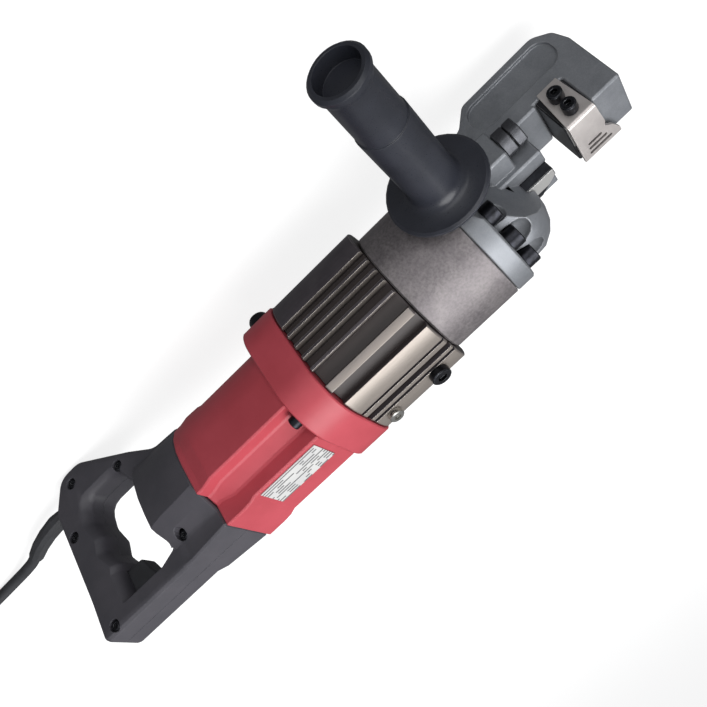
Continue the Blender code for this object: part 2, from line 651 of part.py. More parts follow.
def gear_outline(teeth, backlash):
    """An involute spur gear's outline, with the tooth flanks thinned by the backlash."""
    pitch = MODULE * teeth / 2
    base = pitch * math.cos(math.radians(20))
    tip = pitch + 0.85 * MODULE
    root = pitch - 1.2 * MODULE
    half_tooth = math.pi / (2 * teeth) - backlash / (2 * pitch)
    rolled = math.sqrt((pitch / base) ** 2 - 1)
    at_pitch = rolled - math.atan(rolled)
    flank = []
    start = max(base, root)
    for step in range(3):
        radius = start + (tip - start) * step / 2
        roll = math.sqrt(max((radius / base) ** 2 - 1, 0.0))
        flank.append((radius, half_tooth + at_pitch - (roll - math.atan(roll))))
    tooth = [(root, -flank[0][1])] + [(radius, -angle) for radius, angle in flank]
    tooth += [(radius, angle) for radius, angle in reversed(flank)] + [(root, flank[0][1])]
    if root > base:
        tooth = tooth[1:-1]
    outline = []
    for index in range(teeth):
        middle = 2 * math.pi * index / teeth
        outline += [(radius * math.cos(middle + angle), radius * math.sin(middle + angle)) for radius, angle in tooth]
    return outline


def shaft_height():
    """The eccentric shaft's axis, below the armature by the gears' centre distance."""
    return -(MODULE * (PINION_TEETH + GEAR_TEETH) / 2 + 0.1)


def pump():
    steel = look("satin_steel")
    bright = look("bright_steel")
    front = -CASING_FRONT_WALL - GAP
    rear = front - PUMP_BLOCK_LENGTH
    height = shaft_height()
    chamber = 11.6
    body = turned("pump_block", [
        (rear, 0), (rear, CASING_ROOM_RADIUS - 0.7), (rear + 1, CASING_ROOM_RADIUS - GAP),
        (front - 1, CASING_ROOM_RADIUS - GAP), (front, CASING_ROOM_RADIUS - 1.3), (front, 0),
    ], steel, steps=32)
    lobe_x = rear + 9.5
    cut(body,
        rod("chamber", "X", rear - 2, rear + 15, chamber, steel, (0, height), 24),
        rod("plunger_bore", "Z", height + 5, CASING_ROOM_RADIUS + 3, PLUNGER_RADIUS + FIT, steel, (lobe_x, 0), 16),
        rod("oil_way", "X", lobe_x + 1, front + 2, OIL_PORT_RADIUS - 0.5, steel, (0, 12), 12))
    foot = height + LOBE_RADIUS + LOBE_OFFSET + 0.4
    rod("pump_plunger", "Z", foot, foot + 19, PLUNGER_RADIUS, bright, (lobe_x, 0), 16, 0.4)

    gear_rear = -CASING_LENGTH + 5.5
    gear_front = gear_rear + 7
    shaft_origin = (lobe_x, 0, height)
    shaft = rod("eccentric_shaft", "X", gear_rear - 3, rear + 14, SHAFT_RADIUS, bright, (0, height), 20, 0.5,
                shaft_origin)
    join(shaft, rod("lobe", "X", lobe_x - 4, lobe_x + 4, LOBE_RADIUS, bright, (0, height - LOBE_OFFSET), 24))
    outline = [(y, z + height) for y, z in gear_outline(GEAR_TEETH, 0.25)]
    gear = prism("reduction_gear", outline, "X", gear_rear, gear_front, steel, shaft_origin)
    cut(gear, rod("gear_bore", "X", gear_rear - 2, gear_front + 2, SHAFT_RADIUS + FIT, steel, (0, height), 20))


# collar and motor
def collar():
    red = look("red_shell")
    black = look("black_oxide")
    front = -CASING_LENGTH - GAP + 0.3
    rear = front - COLLAR_LENGTH
    section = casing_section(CASING_HALF_WIDTH + 1, CASING_HALF_HEIGHT + 1, CASING_CORNER)
    ring = ease(prism("collar", section, "X", rear, front - GAP, red), 0.9)
    tools = [rod("collar_room", "X", rear - 2, front + 2, COLLAR_WALL_RADIUS, red, steps=36)]
    for index, side in enumerate((1, -1)):
        centre = (side * HOUSING_SCREW_OFFSET, HOUSING_SCREW_OFFSET)
        tools.append(rod(f"screw_way_{index}", "X", rear - 2, front + 2, 2.3 + FIT, red, centre, 12))
        socket_screw(f"housing_screw_{index + 1}", "X", rear - GAP, front - 2, (4.2, 5.5), 2.3, centre, black, 16)
    bottom = -CASING_HALF_HEIGHT - 1
    for index, (x, radius, tall) in enumerate(((front - 17.5, 7.0, 13.0), (front - 5.6, 4.3, 8.0))):
        tools.append(rod(f"bolt_way_{index}", "Z", bottom - 3, -30, 2.2 + FIT, red, (x, COLLAR_BOLT_Y), 12))
        dome = [(-39.5, 0), (-39.5, 2.2), (bottom - GAP, 2.2), (bottom - GAP, radius),
                (bottom - tall + 2.5, radius), (bottom - tall + 0.8, radius - 0.8), (bottom - tall, radius - 2.4),
                (bottom - tall, 0)]
        turned(f"collar_bolt_{index + 1}", dome, black, "Z", (x, COLLAR_BOLT_Y), 20)
    cut(ring, *tools)
    return rear


def bearing_plate(rear):
    steel = look("satin_steel")
    front = rear + COLLAR_LENGTH - 3
    back = front - 7
    height = shaft_height()
    plate = turned("bearing_plate", [(back, 9.8), (back, COLLAR_WALL_RADIUS - GAP), (front, COLLAR_WALL_RADIUS - GAP),
                                     (front, 9.8)], steel, steps=36)
    cut(plate, rod("shaft_clearance", "X", front - 3, front + 2, SHAFT_RADIUS + 2, steel, (0, height), 20))
    ring = [(back, ARMATURE_RADIUS + FIT), (back, 9.8 - GAP), (front, 9.8 - GAP), (front, ARMATURE_RADIUS + FIT)]
    turned("motor_bearing", ring, look("bright_steel"), steps=24)
    return back


def housing_section(scale=1.0, top=TOP_HEIGHT, half_width=HOUSING_HALF_WIDTH):
    """The motor housing's section: half-round below, then a ledge, a slope and the raised top."""
    ledge = half_width - LEDGE_WIDTH
    slope = ledge - TOP_HALF_WIDTH
    left = [(half_width, LEDGE_HEIGHT), (ledge, LEDGE_HEIGHT), (TOP_HALF_WIDTH, LEDGE_HEIGHT + slope),
            (TOP_HALF_WIDTH, top)]
    below = []
    for step in range(13):
        angle = -math.pi * step / 12
        below.append((half_width * math.cos(angle), HOUSING_RADIUS * scale * math.sin(angle)))
    return left[::-1] + below + [(-y, z) for y, z in left]


def motor(collar_rear, plate_back):
    red = look("red_shell")
    steel = look("satin_steel")
    bright = look("bright_steel")
    copper = look("copper")
    front = collar_rear - GAP
    narrow = SHELL_HALF_WIDTH + 1
    sections = [(front, housing_section()), (HOUSING_REAR + 24, housing_section()),
                (HOUSING_REAR + 20, housing_section(1.04, TOP_HEIGHT + 1.5)),
                (HOUSING_REAR + 14, housing_section(1.05, TOP_HEIGHT + 2, HOUSING_HALF_WIDTH)),
                (HOUSING_REAR + 5, housing_section(1.05, TOP_HEIGHT + 2, narrow)),
                (HOUSING_REAR, housing_section(1.05, TOP_HEIGHT + 2, narrow))]
    housing = ease(lofted("motor_housing", sections, red), 1.0)
    cut(housing, turned("motor_room", [
        (front + 2, 0), (front + 2, HOUSING_ROOM_RADIUS), (HOUSING_REAR + 26, HOUSING_ROOM_RADIUS),
        (HOUSING_REAR + 20, 30), (HOUSING_REAR + 8, 30), (HOUSING_REAR + 8, 8), (HOUSING_REAR - 2, 8),
        (HOUSING_REAR - 2, 0),
    ], red, steps=36))
    label_low = TOP_HEIGHT + GAP
    block("label_plate", (HOUSING_REAR + 27, -4, label_low), (HOUSING_REAR + 71, 19, label_low + 0.5),
          look("white_label"))

    core_front = front - 8
    core_rear = core_front - 38
    turned("stator", [(core_rear, STATOR_BORE), (core_rear, STATOR_RADIUS), (core_front, STATOR_RADIUS),
                      (core_front, STATOR_BORE)], steel, steps=36)
    rod_front = -CASING_LENGTH + 5
    shaft = rod("armature_shaft", "X", HOUSING_REAR + 10, rod_front - 1, ARMATURE_RADIUS - 0.6, bright, steps=20)
    thick = rod("shaft_body", "X", HOUSING_REAR + 22, plate_back + 7, ARMATURE_RADIUS, bright, steps=20)
    pinion = prism("pinion", gear_outline(PINION_TEETH, 0.25), "X", rod_front - 1, rod_front + 8, bright)
    join(shaft, thick, pinion)
    bore = ARMATURE_RADIUS + FIT
    turned("rotor_core", [(core_rear + 2, bore), (core_rear + 2, ROTOR_RADIUS), (core_front - 2, ROTOR_RADIUS),
                          (core_front - 2, bore)], copper, steps=32)
    turned("commutator", [(core_rear - 14, bore), (core_rear - 14, 11), (core_rear - 2, 11), (core_rear - 2, bore)],
           copper, steps=24)
    fan(front, bore)
    for index, side in enumerate((1, -1)):
        inner = side * 11.5
        outer = side * 26
        block(f"carbon_brush_{index + 1}", (core_rear - 11, min(inner, outer), -3.5),
              (core_rear - 5, max(inner, outer), 3.5), look("black_rubber"))


def fan(front, bore):
    """The cooling fan: a disc with radial blades."""
    black = look("black_shell")
    start = front - 5
    disc = turned("cooling_fan", [(start, bore), (start, 32), (start + 1.5, 32), (start + 1.5, 9), (start + 9, 8),
                                  (start + 9, bore)], black, steps=32)
    blades = []
    for index in range(8):
        blade = block(f"blade_{index}", (start + 1, 7.5, -0.7), (start + 8, 31, 0.7), black)
        blade.rotation_euler = (2 * math.pi * index / 8 + 0.1, 0, 0)
        blades.append(blade)
    join(disc, *blades)


# rear handle
def shell_section(half_width, bottom, ledge, top_half, top):
    """A section of the black shell between the motor housing and the grip."""
    left = [(half_width, ledge), (half_width - 6, ledge + 9), (top_half, ledge + 17), (top_half, top)]
    below = []
    for step in range(13):
        angle = -math.pi * step / 12
        below.append((half_width * math.cos(angle), bottom * abs(math.sin(angle))))
    return left[::-1] + below + [(-y, z) for y, z in left]


def handle_outline():
    return rounded([
        (HOUSING_REAR - GAP, BAR_TOP, 0),
        (HANDLE_REAR - 1.5, BAR_TOP, 5),
        (HANDLE_REAR, BAR_TOP - 30, 40),
        (HANDLE_REAR, -58, 16),
        (HANDLE_REAR + 14, HANDLE_FOOT, 14),
        (HANDLE_REAR + 32, HANDLE_FOOT, 16),
        (OPENING_FRONT + 3, -55, 20),
        (HOUSING_REAR - 24, -42, 14),
        (HOUSING_REAR - GAP, -40.5, 0),
    ], 6)


def hand_opening():
    """The space for the fingers, with two ridges between them on the grip's side."""
    return rounded([
        (OPENING_FRONT - 11, BAR_UNDERSIDE + 1, 2),
        (OPENING_FRONT + 5, BAR_UNDERSIDE - 4, 4),
        (OPENING_FRONT, 8, 6),
        (OPENING_FRONT, -24, 8),
        (OPENING_FRONT - 12, OPENING_FLOOR, 10),
        (OPENING_REAR + 2, OPENING_FLOOR, 10),
        (OPENING_REAR - 1, -34, 8),
        (OPENING_REAR + 3, -20, 4),
        (OPENING_REAR, -9, 6),
        (OPENING_REAR + 6, 4, 3),
        (OPENING_REAR + 4, TRIGGER_LOW, 1),
        (OPENING_REAR + 4, BAR_UNDERSIDE + 1, 2),
    ], 3)


def flared_opening(name, material):
    """The finger space as a tool that widens towards both faces, so that the grip is round to hold."""
    sections = []
    for across, share in ((-17, 1.15), (-15.4, 0.7), (-13.4, 0.3), (-9.5, 0), (9.5, 0), (13.4, 0.3), (15.4, 0.7),
                          (17, 1.15)):
        moved = []
        for x, z in hand_opening():
            rearward = min(max((OPENING_REAR + 22 - x) / 14, -0.3), 1)
            downward = min(max((-30 - z) / 14, 0), 1)
            moved.append((x - OPENING_FLARE * share * rearward, z - 0.7 * OPENING_FLARE * share * downward))
        sections.append((across, moved))
    return lofted(name, sections, material, "Y")


def handle_half(name, side):
    black = look("black_shell")
    inner = side * GAP / 2
    half = ease(prism(name, handle_outline(), "Y", -HANDLE_HALF_WIDTH, HANDLE_HALF_WIDTH, black), 4.5, 3)
    start = HOUSING_REAR - GAP
    shell = lofted(name + "_shell", [
        (start, shell_section(SHELL_HALF_WIDTH, -40.5, 15.5, TOP_HALF_WIDTH, BAR_TOP)),
        (HOUSING_REAR - 32, shell_section(30, -46, 12.5, 18, BAR_TOP)),
        (OPENING_FRONT + 1, shell_section(26.5, -50, 11.5, 15, BAR_TOP - 2)),
    ], black)
    ease(shell, 1.2)
    join(half, shell)
    far = -side * 60
    tools = [flared_opening(name + "_opening", black),
             prism(name + "_opening_sides", hand_opening(), "Y", -60, 60, black),
             block(name + "_mirror_side", (HANDLE_REAR - 20, min(far, inner), -100),
                   (HOUSING_REAR + 16, max(far, inner), 70), black),
             lofted(name + "_room", [
                 (start + 2, shell_section(SHELL_HALF_WIDTH - SHELL_WALL, -37, 13, TOP_HALF_WIDTH - SHELL_WALL, 39)),
                 (HOUSING_REAR - 34, shell_section(30 - SHELL_WALL, -40, 9.5, 14, 38)),
             ], black),
             block(name + "_grip_room", (HANDLE_REAR + 5, -9, -44), (OPENING_REAR - 3, 9, BAR_UNDERSIDE + 5), black),
             block(name + "_trigger_way", (OPENING_REAR - 5, -TRIGGER_HALF_WIDTH - FIT, TRIGGER_LOW - FIT),
                   (OPENING_REAR + 8, TRIGGER_HALF_WIDTH + FIT, TRIGGER_HIGH + FIT), black),
             rod(name + "_cord_way", "X", HANDLE_REAR - 12, HANDLE_REAR + 20, 5.0, black, (0, RELIEF_HEIGHT), 16)]
    for index, (x, z, y) in enumerate(HANDLE_SCREWS):
        if side > 0:
            profile = [(-2, 0), (-2, 1.9), (y - 3.5, 1.9), (y - 3.5, 4.1), (y + 14, 4.1), (y + 14, 0)]
        else:
            profile = [(-9, 0), (-9, 1.9), (2, 1.9), (2, 0)]
        tools.append(turned(f"{name}_screw_{index}", profile, black, "Y", (x, z), 12))
    cut(half, *tools)


def rear_handle():
    black = look("black_oxide")
    handle_half("handle_left", 1)
    handle_half("handle_right", -1)
    for index, (x, z, y) in enumerate(HANDLE_SCREWS):
        socket_screw(f"handle_screw_{index + 1}", "Y", y - 3.2, -8, (3.3, 2.4), 1.55, (x, z), black, 12)


def trigger():
    black = look("black_rubber")
    low = TRIGGER_LOW
    high = TRIGGER_HIGH
    outline = rounded([
        (OPENING_REAR - 3, low, 0), (OPENING_REAR + 17, low, 3), (OPENING_REAR + 19, low + 5, 2),
        (OPENING_REAR + 21, low + 11, 8), (OPENING_REAR + 25, high, 1.5), (OPENING_REAR - 3, high, 0),
    ], 4)
    half = TRIGGER_HALF_WIDTH
    ease(prism("trigger", outline, "Y", -half, half, black), 1.0)
    spring = bpy.data.curves.new("trigger_spring", "CURVE")
    coil(spring, HANDLE_REAR + 5 + 1.2, OPENING_REAR - 3 - 1.2, 3.6, 5, 8, (0, (low + high) / 2))
    curve_object("trigger_spring", spring, 0.6, 1, look("bright_steel"))
    ease(block("switch_body", (HANDLE_REAR + 5.5, -8.5, -30), (OPENING_REAR - 3.5, 8.5, low - 3), black), 0.8)


# side handle
def side_handle():
    rubber = look("black_shell")
    disc = SIDE_DISC_Y + SIDE_DISC_THICKNESS
    split = disc + SIDE_SPLIT_SHARE * (SIDE_GRIP_END - disc)
    bore = STUD_RADIUS + FIT
    turned("side_handle", [
        (SIDE_HUB_START, bore), (SIDE_HUB_START, 12.5), (SIDE_DISC_Y, 13.5), (SIDE_DISC_Y + 0.5, SIDE_DISC_RADIUS - 1),
        (SIDE_DISC_Y + 2, SIDE_DISC_RADIUS), (disc - 1, SIDE_DISC_RADIUS), (disc, SIDE_DISC_RADIUS - 1.5),
        (disc + 0.4, SIDE_GRIP_RADIUS + 4.5), (disc + 1.6, SIDE_GRIP_RADIUS + 2.2),
        (disc + 3.6, SIDE_GRIP_RADIUS + 0.8), (disc + 7, SIDE_GRIP_RADIUS),
        (split, SIDE_GRIP_RADIUS), (split + 0.2, SIDE_GRIP_RADIUS - 0.7), (SIDE_GRIP_END - 9, SIDE_GRIP_RADIUS - 1.2),
        (SIDE_GRIP_END - 6, SIDE_GRIP_RADIUS), (SIDE_GRIP_END - 4, SIDE_GRIP_RADIUS + 0.9),
        (SIDE_GRIP_END - 1.5, SIDE_GRIP_RADIUS + 0.9), (SIDE_GRIP_END, SIDE_GRIP_RADIUS - 0.6),
        (SIDE_GRIP_END, SIDE_BORE_RADIUS), (SIDE_GRIP_END - SIDE_BORE_DEPTH, SIDE_BORE_RADIUS - 0.6),
        (SIDE_GRIP_END - SIDE_BORE_DEPTH, 0), (disc + 12, 0), (disc + 12, bore), (SIDE_HUB_START, bore),
    ], rubber, "Y", (SIDE_HANDLE_X, 0), 36)
    rod("handle_stud", "Y", 31, disc + 9, STUD_RADIUS, look("bright_steel"), (SIDE_HANDLE_X, 0), 20, 0.8)


# mains lead
def smooth_route(points, spacing):
    """Points about a spacing apart on the curve that runs smoothly through the given ones."""
    route = [Vector(point) for point in points]
    ends = [2 * route[0] - route[1]] + route + [2 * route[-1] - route[-2]]
    result = []
    for before, start, end, after in zip(ends, ends[1:], ends[2:], ends[3:]):
        count = max(1, round((end - start).length / spacing))
        for step in range(count):
            t = step / count
            result.append(0.5 * ((2 * start) + (end - before) * t + (2 * before - 5 * start + 4 * end - after) * t * t
                                 + (3 * start - before - 3 * end + after) * t ** 3))
    return result + [route[-1]]


def mains_lead():
    rubber = look("black_rubber")
    relief = bpy.data.curves.new("strain_relief", "CURVE")
    poly(relief, [(HANDLE_REAR + x, y, RELIEF_HEIGHT) for x, y in RELIEF_OFFSETS])
    for point, radius in zip(relief.splines[0].points, RELIEF_RADII):
        point.radius = radius / RELIEF_RADII[0]
    curve_object("strain_relief", relief, RELIEF_RADII[0], 3, rubber)
    tube = bpy.data.curves.new("cord_tube", "CURVE")
    poly(tube, smooth_route(CORD_POINTS, 2.2 * 2 * CORD_RADIUS))
    curve_object("cord_tube", tube, CORD_RADIUS, 2, rubber)

    floor = HANDLE_FOOT + 0.1
    reach = COIL_COLUMNS * CORD_RADIUS + 0.4
    ceiling = floor + COIL_LAYERS * 2 * CORD_RADIUS + 0.4
    inner = COIL_RADIUS - reach
    outer = COIL_RADIUS + reach
    ring = [(floor, inner + 2), (floor, outer - 2), (floor + 2, outer), (ceiling - 2, outer), (ceiling, outer - 2),
            (ceiling, inner + 2), (ceiling - 2, inner), (floor + 2, inner)]
    turned("cord_coil", ring, rubber, "Z", COIL_CENTRE, 40)

    lane = COIL_CENTRE[1] + COIL_RADIUS + 2 * CORD_RADIUS
    height = floor + PLUG_THICKNESS / 2
    clear = math.sqrt((outer + 0.8) ** 2 - (lane - COIL_CENTRE[1] - CORD_RADIUS) ** 2)
    start = COIL_CENTRE[0] + clear
    rear = COIL_CENTRE[0] + PLUG_START
    tail = bpy.data.curves.new("cord_tail", "CURVE")
    low = HANDLE_FOOT + CORD_RADIUS
    poly(tail, smooth_route(((start, lane, low + 1), (rear - 8, lane, height), (rear - GAP, lane, height)), 12))
    curve_object("cord_tail", tail, CORD_RADIUS, 2, rubber)
    plug(rear, lane, height)


def plug(rear, lane, height):
    """A moulded two-pin plug lying flat, its pins pointing along +X."""
    rubber = look("black_rubber")
    front = rear + PLUG_LENGTH
    outline = rounded([
        (rear, lane - 6.5, 1), (rear + 14, lane - 7.5, 8), (rear + 22, lane - 17, 8), (front, lane - 17, 3),
        (front, lane + 17, 3), (rear + 22, lane + 17, 8), (rear + 14, lane + 7.5, 8), (rear, lane + 6.5, 1),
    ], 4)
    half = PLUG_THICKNESS / 2
    body = ease(prism("plug_body", outline, "Z", height - half, height + half, rubber), 2.0, 2)
    brass = look("brass")
    bar = block("plug_pins", (front - 9, lane - 9.5, height - 1.5), (front - 6, lane + 9.5, height + 1.5), brass)
    pins = []
    tools = [block("bar_room", (front - 9 - FIT, lane - 9.5, height - 1.5 - FIT),
                   (front - 6 + FIT, lane + 9.5, height + 1.5 + FIT), rubber)]
    for index, side in enumerate((-1, 1)):
        centre = (lane + side * 9.5, height)
        pins.append(rod(f"plug_pin_{index}", "X", front - 9, front + 19, PIN_RADIUS, brass, centre, 16, 0.8))
        tools.append(rod(f"pin_socket_{index}", "X", front - 9 - FIT, front + 4, PIN_RADIUS + FIT, rubber, centre, 16))
    join(bar, *pins)
    cut(body, *tools)


def main():
    for obj in list(bpy.data.objects):
        bpy.data.objects.remove(obj, do_unlink=True)
    frame = bpy.data.objects.new("tool_frame", None)
    bpy.context.collection.objects.link(frame)
    frame.location = Vector((-CENTRE_X, -CENTRE_Y, BARREL_AXIS_HEIGHT)) * MM
    head()
    cutters()
    guard()
    stopper()
    head_bolts()
    ram()
    cylinder()
    pump_casing()
    pump()
    collar_rear = collar()
    plate_back = bearing_plate(collar_rear)
    motor(collar_rear, plate_back)
    rear_handle()
    trigger()
    side_handle()
    mains_lead()


main()
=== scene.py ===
import math
import bmesh
import bpy
from mathutils import Matrix, Vector


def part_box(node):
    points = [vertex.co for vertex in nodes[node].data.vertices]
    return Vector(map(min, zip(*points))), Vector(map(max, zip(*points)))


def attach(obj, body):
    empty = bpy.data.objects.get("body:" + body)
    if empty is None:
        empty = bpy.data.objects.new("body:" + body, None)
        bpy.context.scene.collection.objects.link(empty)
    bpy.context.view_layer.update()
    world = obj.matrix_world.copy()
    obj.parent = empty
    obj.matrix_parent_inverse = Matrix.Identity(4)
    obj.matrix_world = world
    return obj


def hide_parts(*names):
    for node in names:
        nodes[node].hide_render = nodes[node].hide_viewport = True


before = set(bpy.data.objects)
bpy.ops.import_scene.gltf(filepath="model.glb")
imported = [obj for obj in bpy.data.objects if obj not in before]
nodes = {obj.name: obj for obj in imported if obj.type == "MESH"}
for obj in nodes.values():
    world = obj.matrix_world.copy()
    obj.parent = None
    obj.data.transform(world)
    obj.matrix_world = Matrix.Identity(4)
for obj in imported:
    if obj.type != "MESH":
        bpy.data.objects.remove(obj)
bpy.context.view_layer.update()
mm = 0.001
print("frame loaded:", len(nodes), "CAD nodes")

# Everything below is placed in the tool's own axes, in millimetres: X along the ram, X = 0 where
# the pump casing meets the cylinder, and Y = Z = 0 on the ram's axis.
casingJoint = 0.3  # mm from the casing's end to the cylinder's
cylinderLow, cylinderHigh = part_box("cylinder_housing")
toolOrigin = (cylinderLow + cylinderHigh) / 2
toolOrigin.x = cylinderLow.x - casingJoint * mm
floorHeight = -toolOrigin.z / mm


def place(x, y, z):
    return toolOrigin + Vector((x, y, z)) * mm


cameraSet = {
    "position": (42.4, 419.0, 284.3),
    "forward": (-0.17757, -0.81789, -0.54730),
    "right": (0.71169, -0.49082, 0.50259),
    "lens": 43.05,  # mm
    "sensor": 36,  # mm
    "clip": (0.01, 200),  # metres
}


def makeCamera():
    data = bpy.data.cameras.new("camera")
    data.lens = cameraSet["lens"]
    data.sensor_width = cameraSet["sensor"]
    data.clip_start, data.clip_end = cameraSet["clip"]
    camera = bpy.data.objects.new("camera", data)
    bpy.context.scene.collection.objects.link(camera)
    back = -Vector(cameraSet["forward"]).normalized()
    right = Vector(cameraSet["right"]).normalized()
    up = back.cross(right).normalized()
    turn = Matrix((right, up, back)).transposed()
    camera.matrix_world = Matrix.Translation(place(*cameraSet["position"])) @ turn.to_4x4()
    bpy.context.scene.camera = camera


makeCamera()
print("camera placed")

smoothing = {
    "within": 0.01,  # mm between points made one
    "sharpFrom": 31,  # degrees from which an edge stays crisp
    "creased": {"motor_housing": 16, "handle_left": 27, "handle_right": 27},
}


def makeSmoothing(sharpFrom, names):
    group = bpy.data.node_groups.new("smoothByAngle", "GeometryNodeTree")
    for way in ("INPUT", "OUTPUT"):
        group.interface.new_socket("Geometry", in_out=way, socket_type="NodeSocketGeometry")
    steps = [group.nodes.new(kind) for kind in (
        "NodeGroupInput", "GeometryNodeRemoveAttribute", "GeometryNodeMergeByDistance",
        "GeometryNodeSetShadeSmooth", "GeometryNodeSetShadeSmooth", "NodeGroupOutput")]
    for before, after in zip(steps, steps[1:]):
        group.links.new(before.outputs[0], after.inputs[0])
    forget, merge, keepCrisp = steps[1], steps[2], steps[4]
    forget.inputs["Name"].default_value = "custom_normal"
    merge.inputs["Distance"].default_value = smoothing["within"] * mm
    keepCrisp.domain = "EDGE"
    keepCrisp.inputs["Shade Smooth"].default_value = False
    angle = group.nodes.new("GeometryNodeInputMeshEdgeAngle")
    steep = group.nodes.new("FunctionNodeCompare")
    steep.inputs[1].default_value = math.radians(sharpFrom)
    group.links.new(angle.outputs["Unsigned Angle"], steep.inputs[0])
    group.links.new(steep.outputs[0], keepCrisp.inputs["Selection"])
    for name in names:
        nodes[name].modifiers.new("smoothByAngle", "NODES").node_group = group


makeSmoothing(smoothing["sharpFrom"], [name for name in nodes if name not in smoothing["creased"]])
for name, degrees in smoothing["creased"].items():
    makeSmoothing(degrees, [name])
print("CAD nodes shaded smooth")


def linear(hexColour):
    parts = [int(hexColour[i:i + 2], 16) / 255 for i in (1, 3, 5)]
    return (*[p / 12.92 if p < 0.04045 else ((p + 0.055) / 1.055) ** 2.4 for p in parts], 1.0)


def addNode(tree, kind, inputs=None, **settings):
    node = tree.nodes.new("ShaderNode" + kind)
    for name, value in settings.items():
        setattr(node, name, value)
    for name, value in (inputs or {}).items():
        if isinstance(value, bpy.types.NodeSocket):
            tree.links.new(value, node.inputs[name])
        else:
            node.inputs[name].default_value = value
    return node


mottle = {
    "patchDetail": 4.0, "patchRoughness": 0.6,
    "gritDetail": 3.0, "gritRoughness": 0.65,
    "blend": (0.35, 0.65),  # of the patches, from one colour to the other
    "fleck": (0.32, 0.68),  # of the grit, from dark to light
    "gloss": (0.3, 0.7),  # of the grit, from shiny to dull
    "uneven": (0.3, 0.6),  # of the patches, from no paler edge to the full one
    "worn": (0.985, 0.90),  # cosine between the rounded edge and the flat face
    "edgeSamples": 4,
}


def makeSurface(name, look):
    # Two mottled colours, uneven gloss, fine grit, and paler or shinier edges, part wear and part
    # painted highlight. Patch, grit and edge sizes are in mm, and a grit too fine to show is drawn
    # as coarse as it needs to show.
    material = bpy.data.materials.new(name)
    material.use_nodes = True
    tree = material.node_tree
    shader = tree.nodes["Principled BSDF"]
    shader.inputs["Metallic"].default_value = look["metallic"]
    if "ior" in look:
        shader.inputs["IOR"].default_value = look["ior"]
    where = addNode(tree, "TexCoord").outputs["Object"]
    stretched = addNode(tree, "Mapping", {
        "Vector": where, "Scale": look.get("stretch", (1, 1, 1))}).outputs[0]
    patches = addNode(tree, "TexNoise", {
        "Vector": where, "Scale": 1 / (look["patch"] * mm), "Detail": mottle["patchDetail"],
        "Roughness": mottle["patchRoughness"]}).outputs["Fac"]
    grit = addNode(tree, "TexNoise", {
        "Vector": stretched, "Scale": 1 / (look["grit"] * mm), "Detail": mottle["gritDetail"],
        "Roughness": mottle["gritRoughness"]}).outputs["Fac"]
    low, high = mottle["blend"]
    blend = addNode(tree, "MapRange", {
        "Value": patches, "From Min": low, "From Max": high}).outputs[0]
    colour = addNode(tree, "Mix", {
        0: blend, 6: linear(look["colour"]), 7: linear(look["second"])},
        data_type="RGBA").outputs[2]
    if "fleck" in look:
        low, high = mottle["fleck"]
        light = addNode(tree, "MapRange", {
            "Value": grit, "From Min": low, "From Max": high,
            "To Min": 1 - look["fleck"], "To Max": 1 + look["fleck"]}).outputs[0]
        colour = addNode(tree, "VectorMath", {0: colour, "Scale": light},
                         operation="SCALE").outputs[0]
    low, high = mottle["gloss"]
    shiny, dull = look["roughness"]
    gloss = addNode(tree, "MapRange", {
        "Value": grit, "From Min": low, "From Max": high,
        "To Min": shiny, "To Max": dull}).outputs[0]
    grain = {"Height": grit, "Strength": look["bump"], "Distance": look["depth"] * mm}
    if "edge" in look:
        soft = addNode(tree, "Bevel", {"Radius": look["edgeWidth"] * mm},
                       samples=mottle["edgeSamples"]).outputs[0]
        grain["Normal"] = soft
        # Paler edges, part wear and part painted highlight, where the rounded normal leaves the
        # flat one
        flat = addNode(tree, "NewGeometry").outputs["Normal"]
        match = addNode(tree, "VectorMath", {0: soft, 1: flat},
                        operation="DOT_PRODUCT").outputs["Value"]
        low, high = mottle["worn"]
        worn = addNode(tree, "MapRange", {
            "Value": match, "From Min": low, "From Max": high,
            "To Max": look["edgeAmount"]}).outputs[0]
        low, high = mottle["uneven"]
        uneven = addNode(tree, "MapRange", {
            "Value": patches, "From Min": low, "From Max": high}).outputs[0]
        worn = addNode(tree, "Math", {0: worn, 1: uneven}, operation="MULTIPLY").outputs[0]
        colour = addNode(tree, "Mix", {0: worn, 6: colour, 7: linear(look["edge"])},
                         data_type="RGBA").outputs[2]
    bump = addNode(tree, "Bump", grain).outputs[0]
    parts = {"material": material, "tree": tree, "shader": shader, "where": where,
             "colour": colour, "gloss": gloss, "bump": bump}
    wire(parts)
    return parts


def wire(parts):
    for socket, key in (("Base Color", "colour"), ("Roughness", "gloss"), ("Normal", "bump")):
        parts["tree"].links.new(parts[key], parts["shader"].inputs[socket])


def wear(names, material):
    for name in names:
        mesh = nodes[name].data
        mesh.materials.clear()
        mesh.materials.append(material)


# Forged steel, manganese phosphated: a dark grey satin skin, paler along its edges, part rubbed
# and part painted highlight
phosphatedForging = {
    "colour": "#83868b", "second": "#8f9297", "metallic": 0.55, "roughness": (0.42, 0.56),
    "patch": 16, "grit": 0.7, "fleck": 0.1, "bump": 0.35, "depth": 0.05,
    "edge": "#bcbfc2", "edgeWidth": 1.1, "edgeAmount": 0.6,
}
# Turned mild steel, bead blasted: a warm grey satin with light and dark specks
turnedSteel = {
    "colour": "#757072", "second": "#827d7e", "metallic": 0.6, "roughness": (0.46, 0.60),
    "patch": 12, "grit": 1.6, "fleck": 0.26, "bump": 0.35, "depth": 0.04,
    # edge: a paler edge colour, part wear and part painted highlight
    "edge": "#c0bcba", "edgeWidth": 0.8, "edgeAmount": 0.7,
}
# Stainless sheet, cold rolled and brushed: bright with fine lines along one way
brushedStainless = {
    "colour": "#cbc5c2", "second": "#d6d0cd", "metallic": 0.7, "roughness": (0.34, 0.46),
    "patch": 9, "grit": 1.6, "stretch": (3, 0.1, 0.1), "bump": 0.15, "depth": 0.015,
}
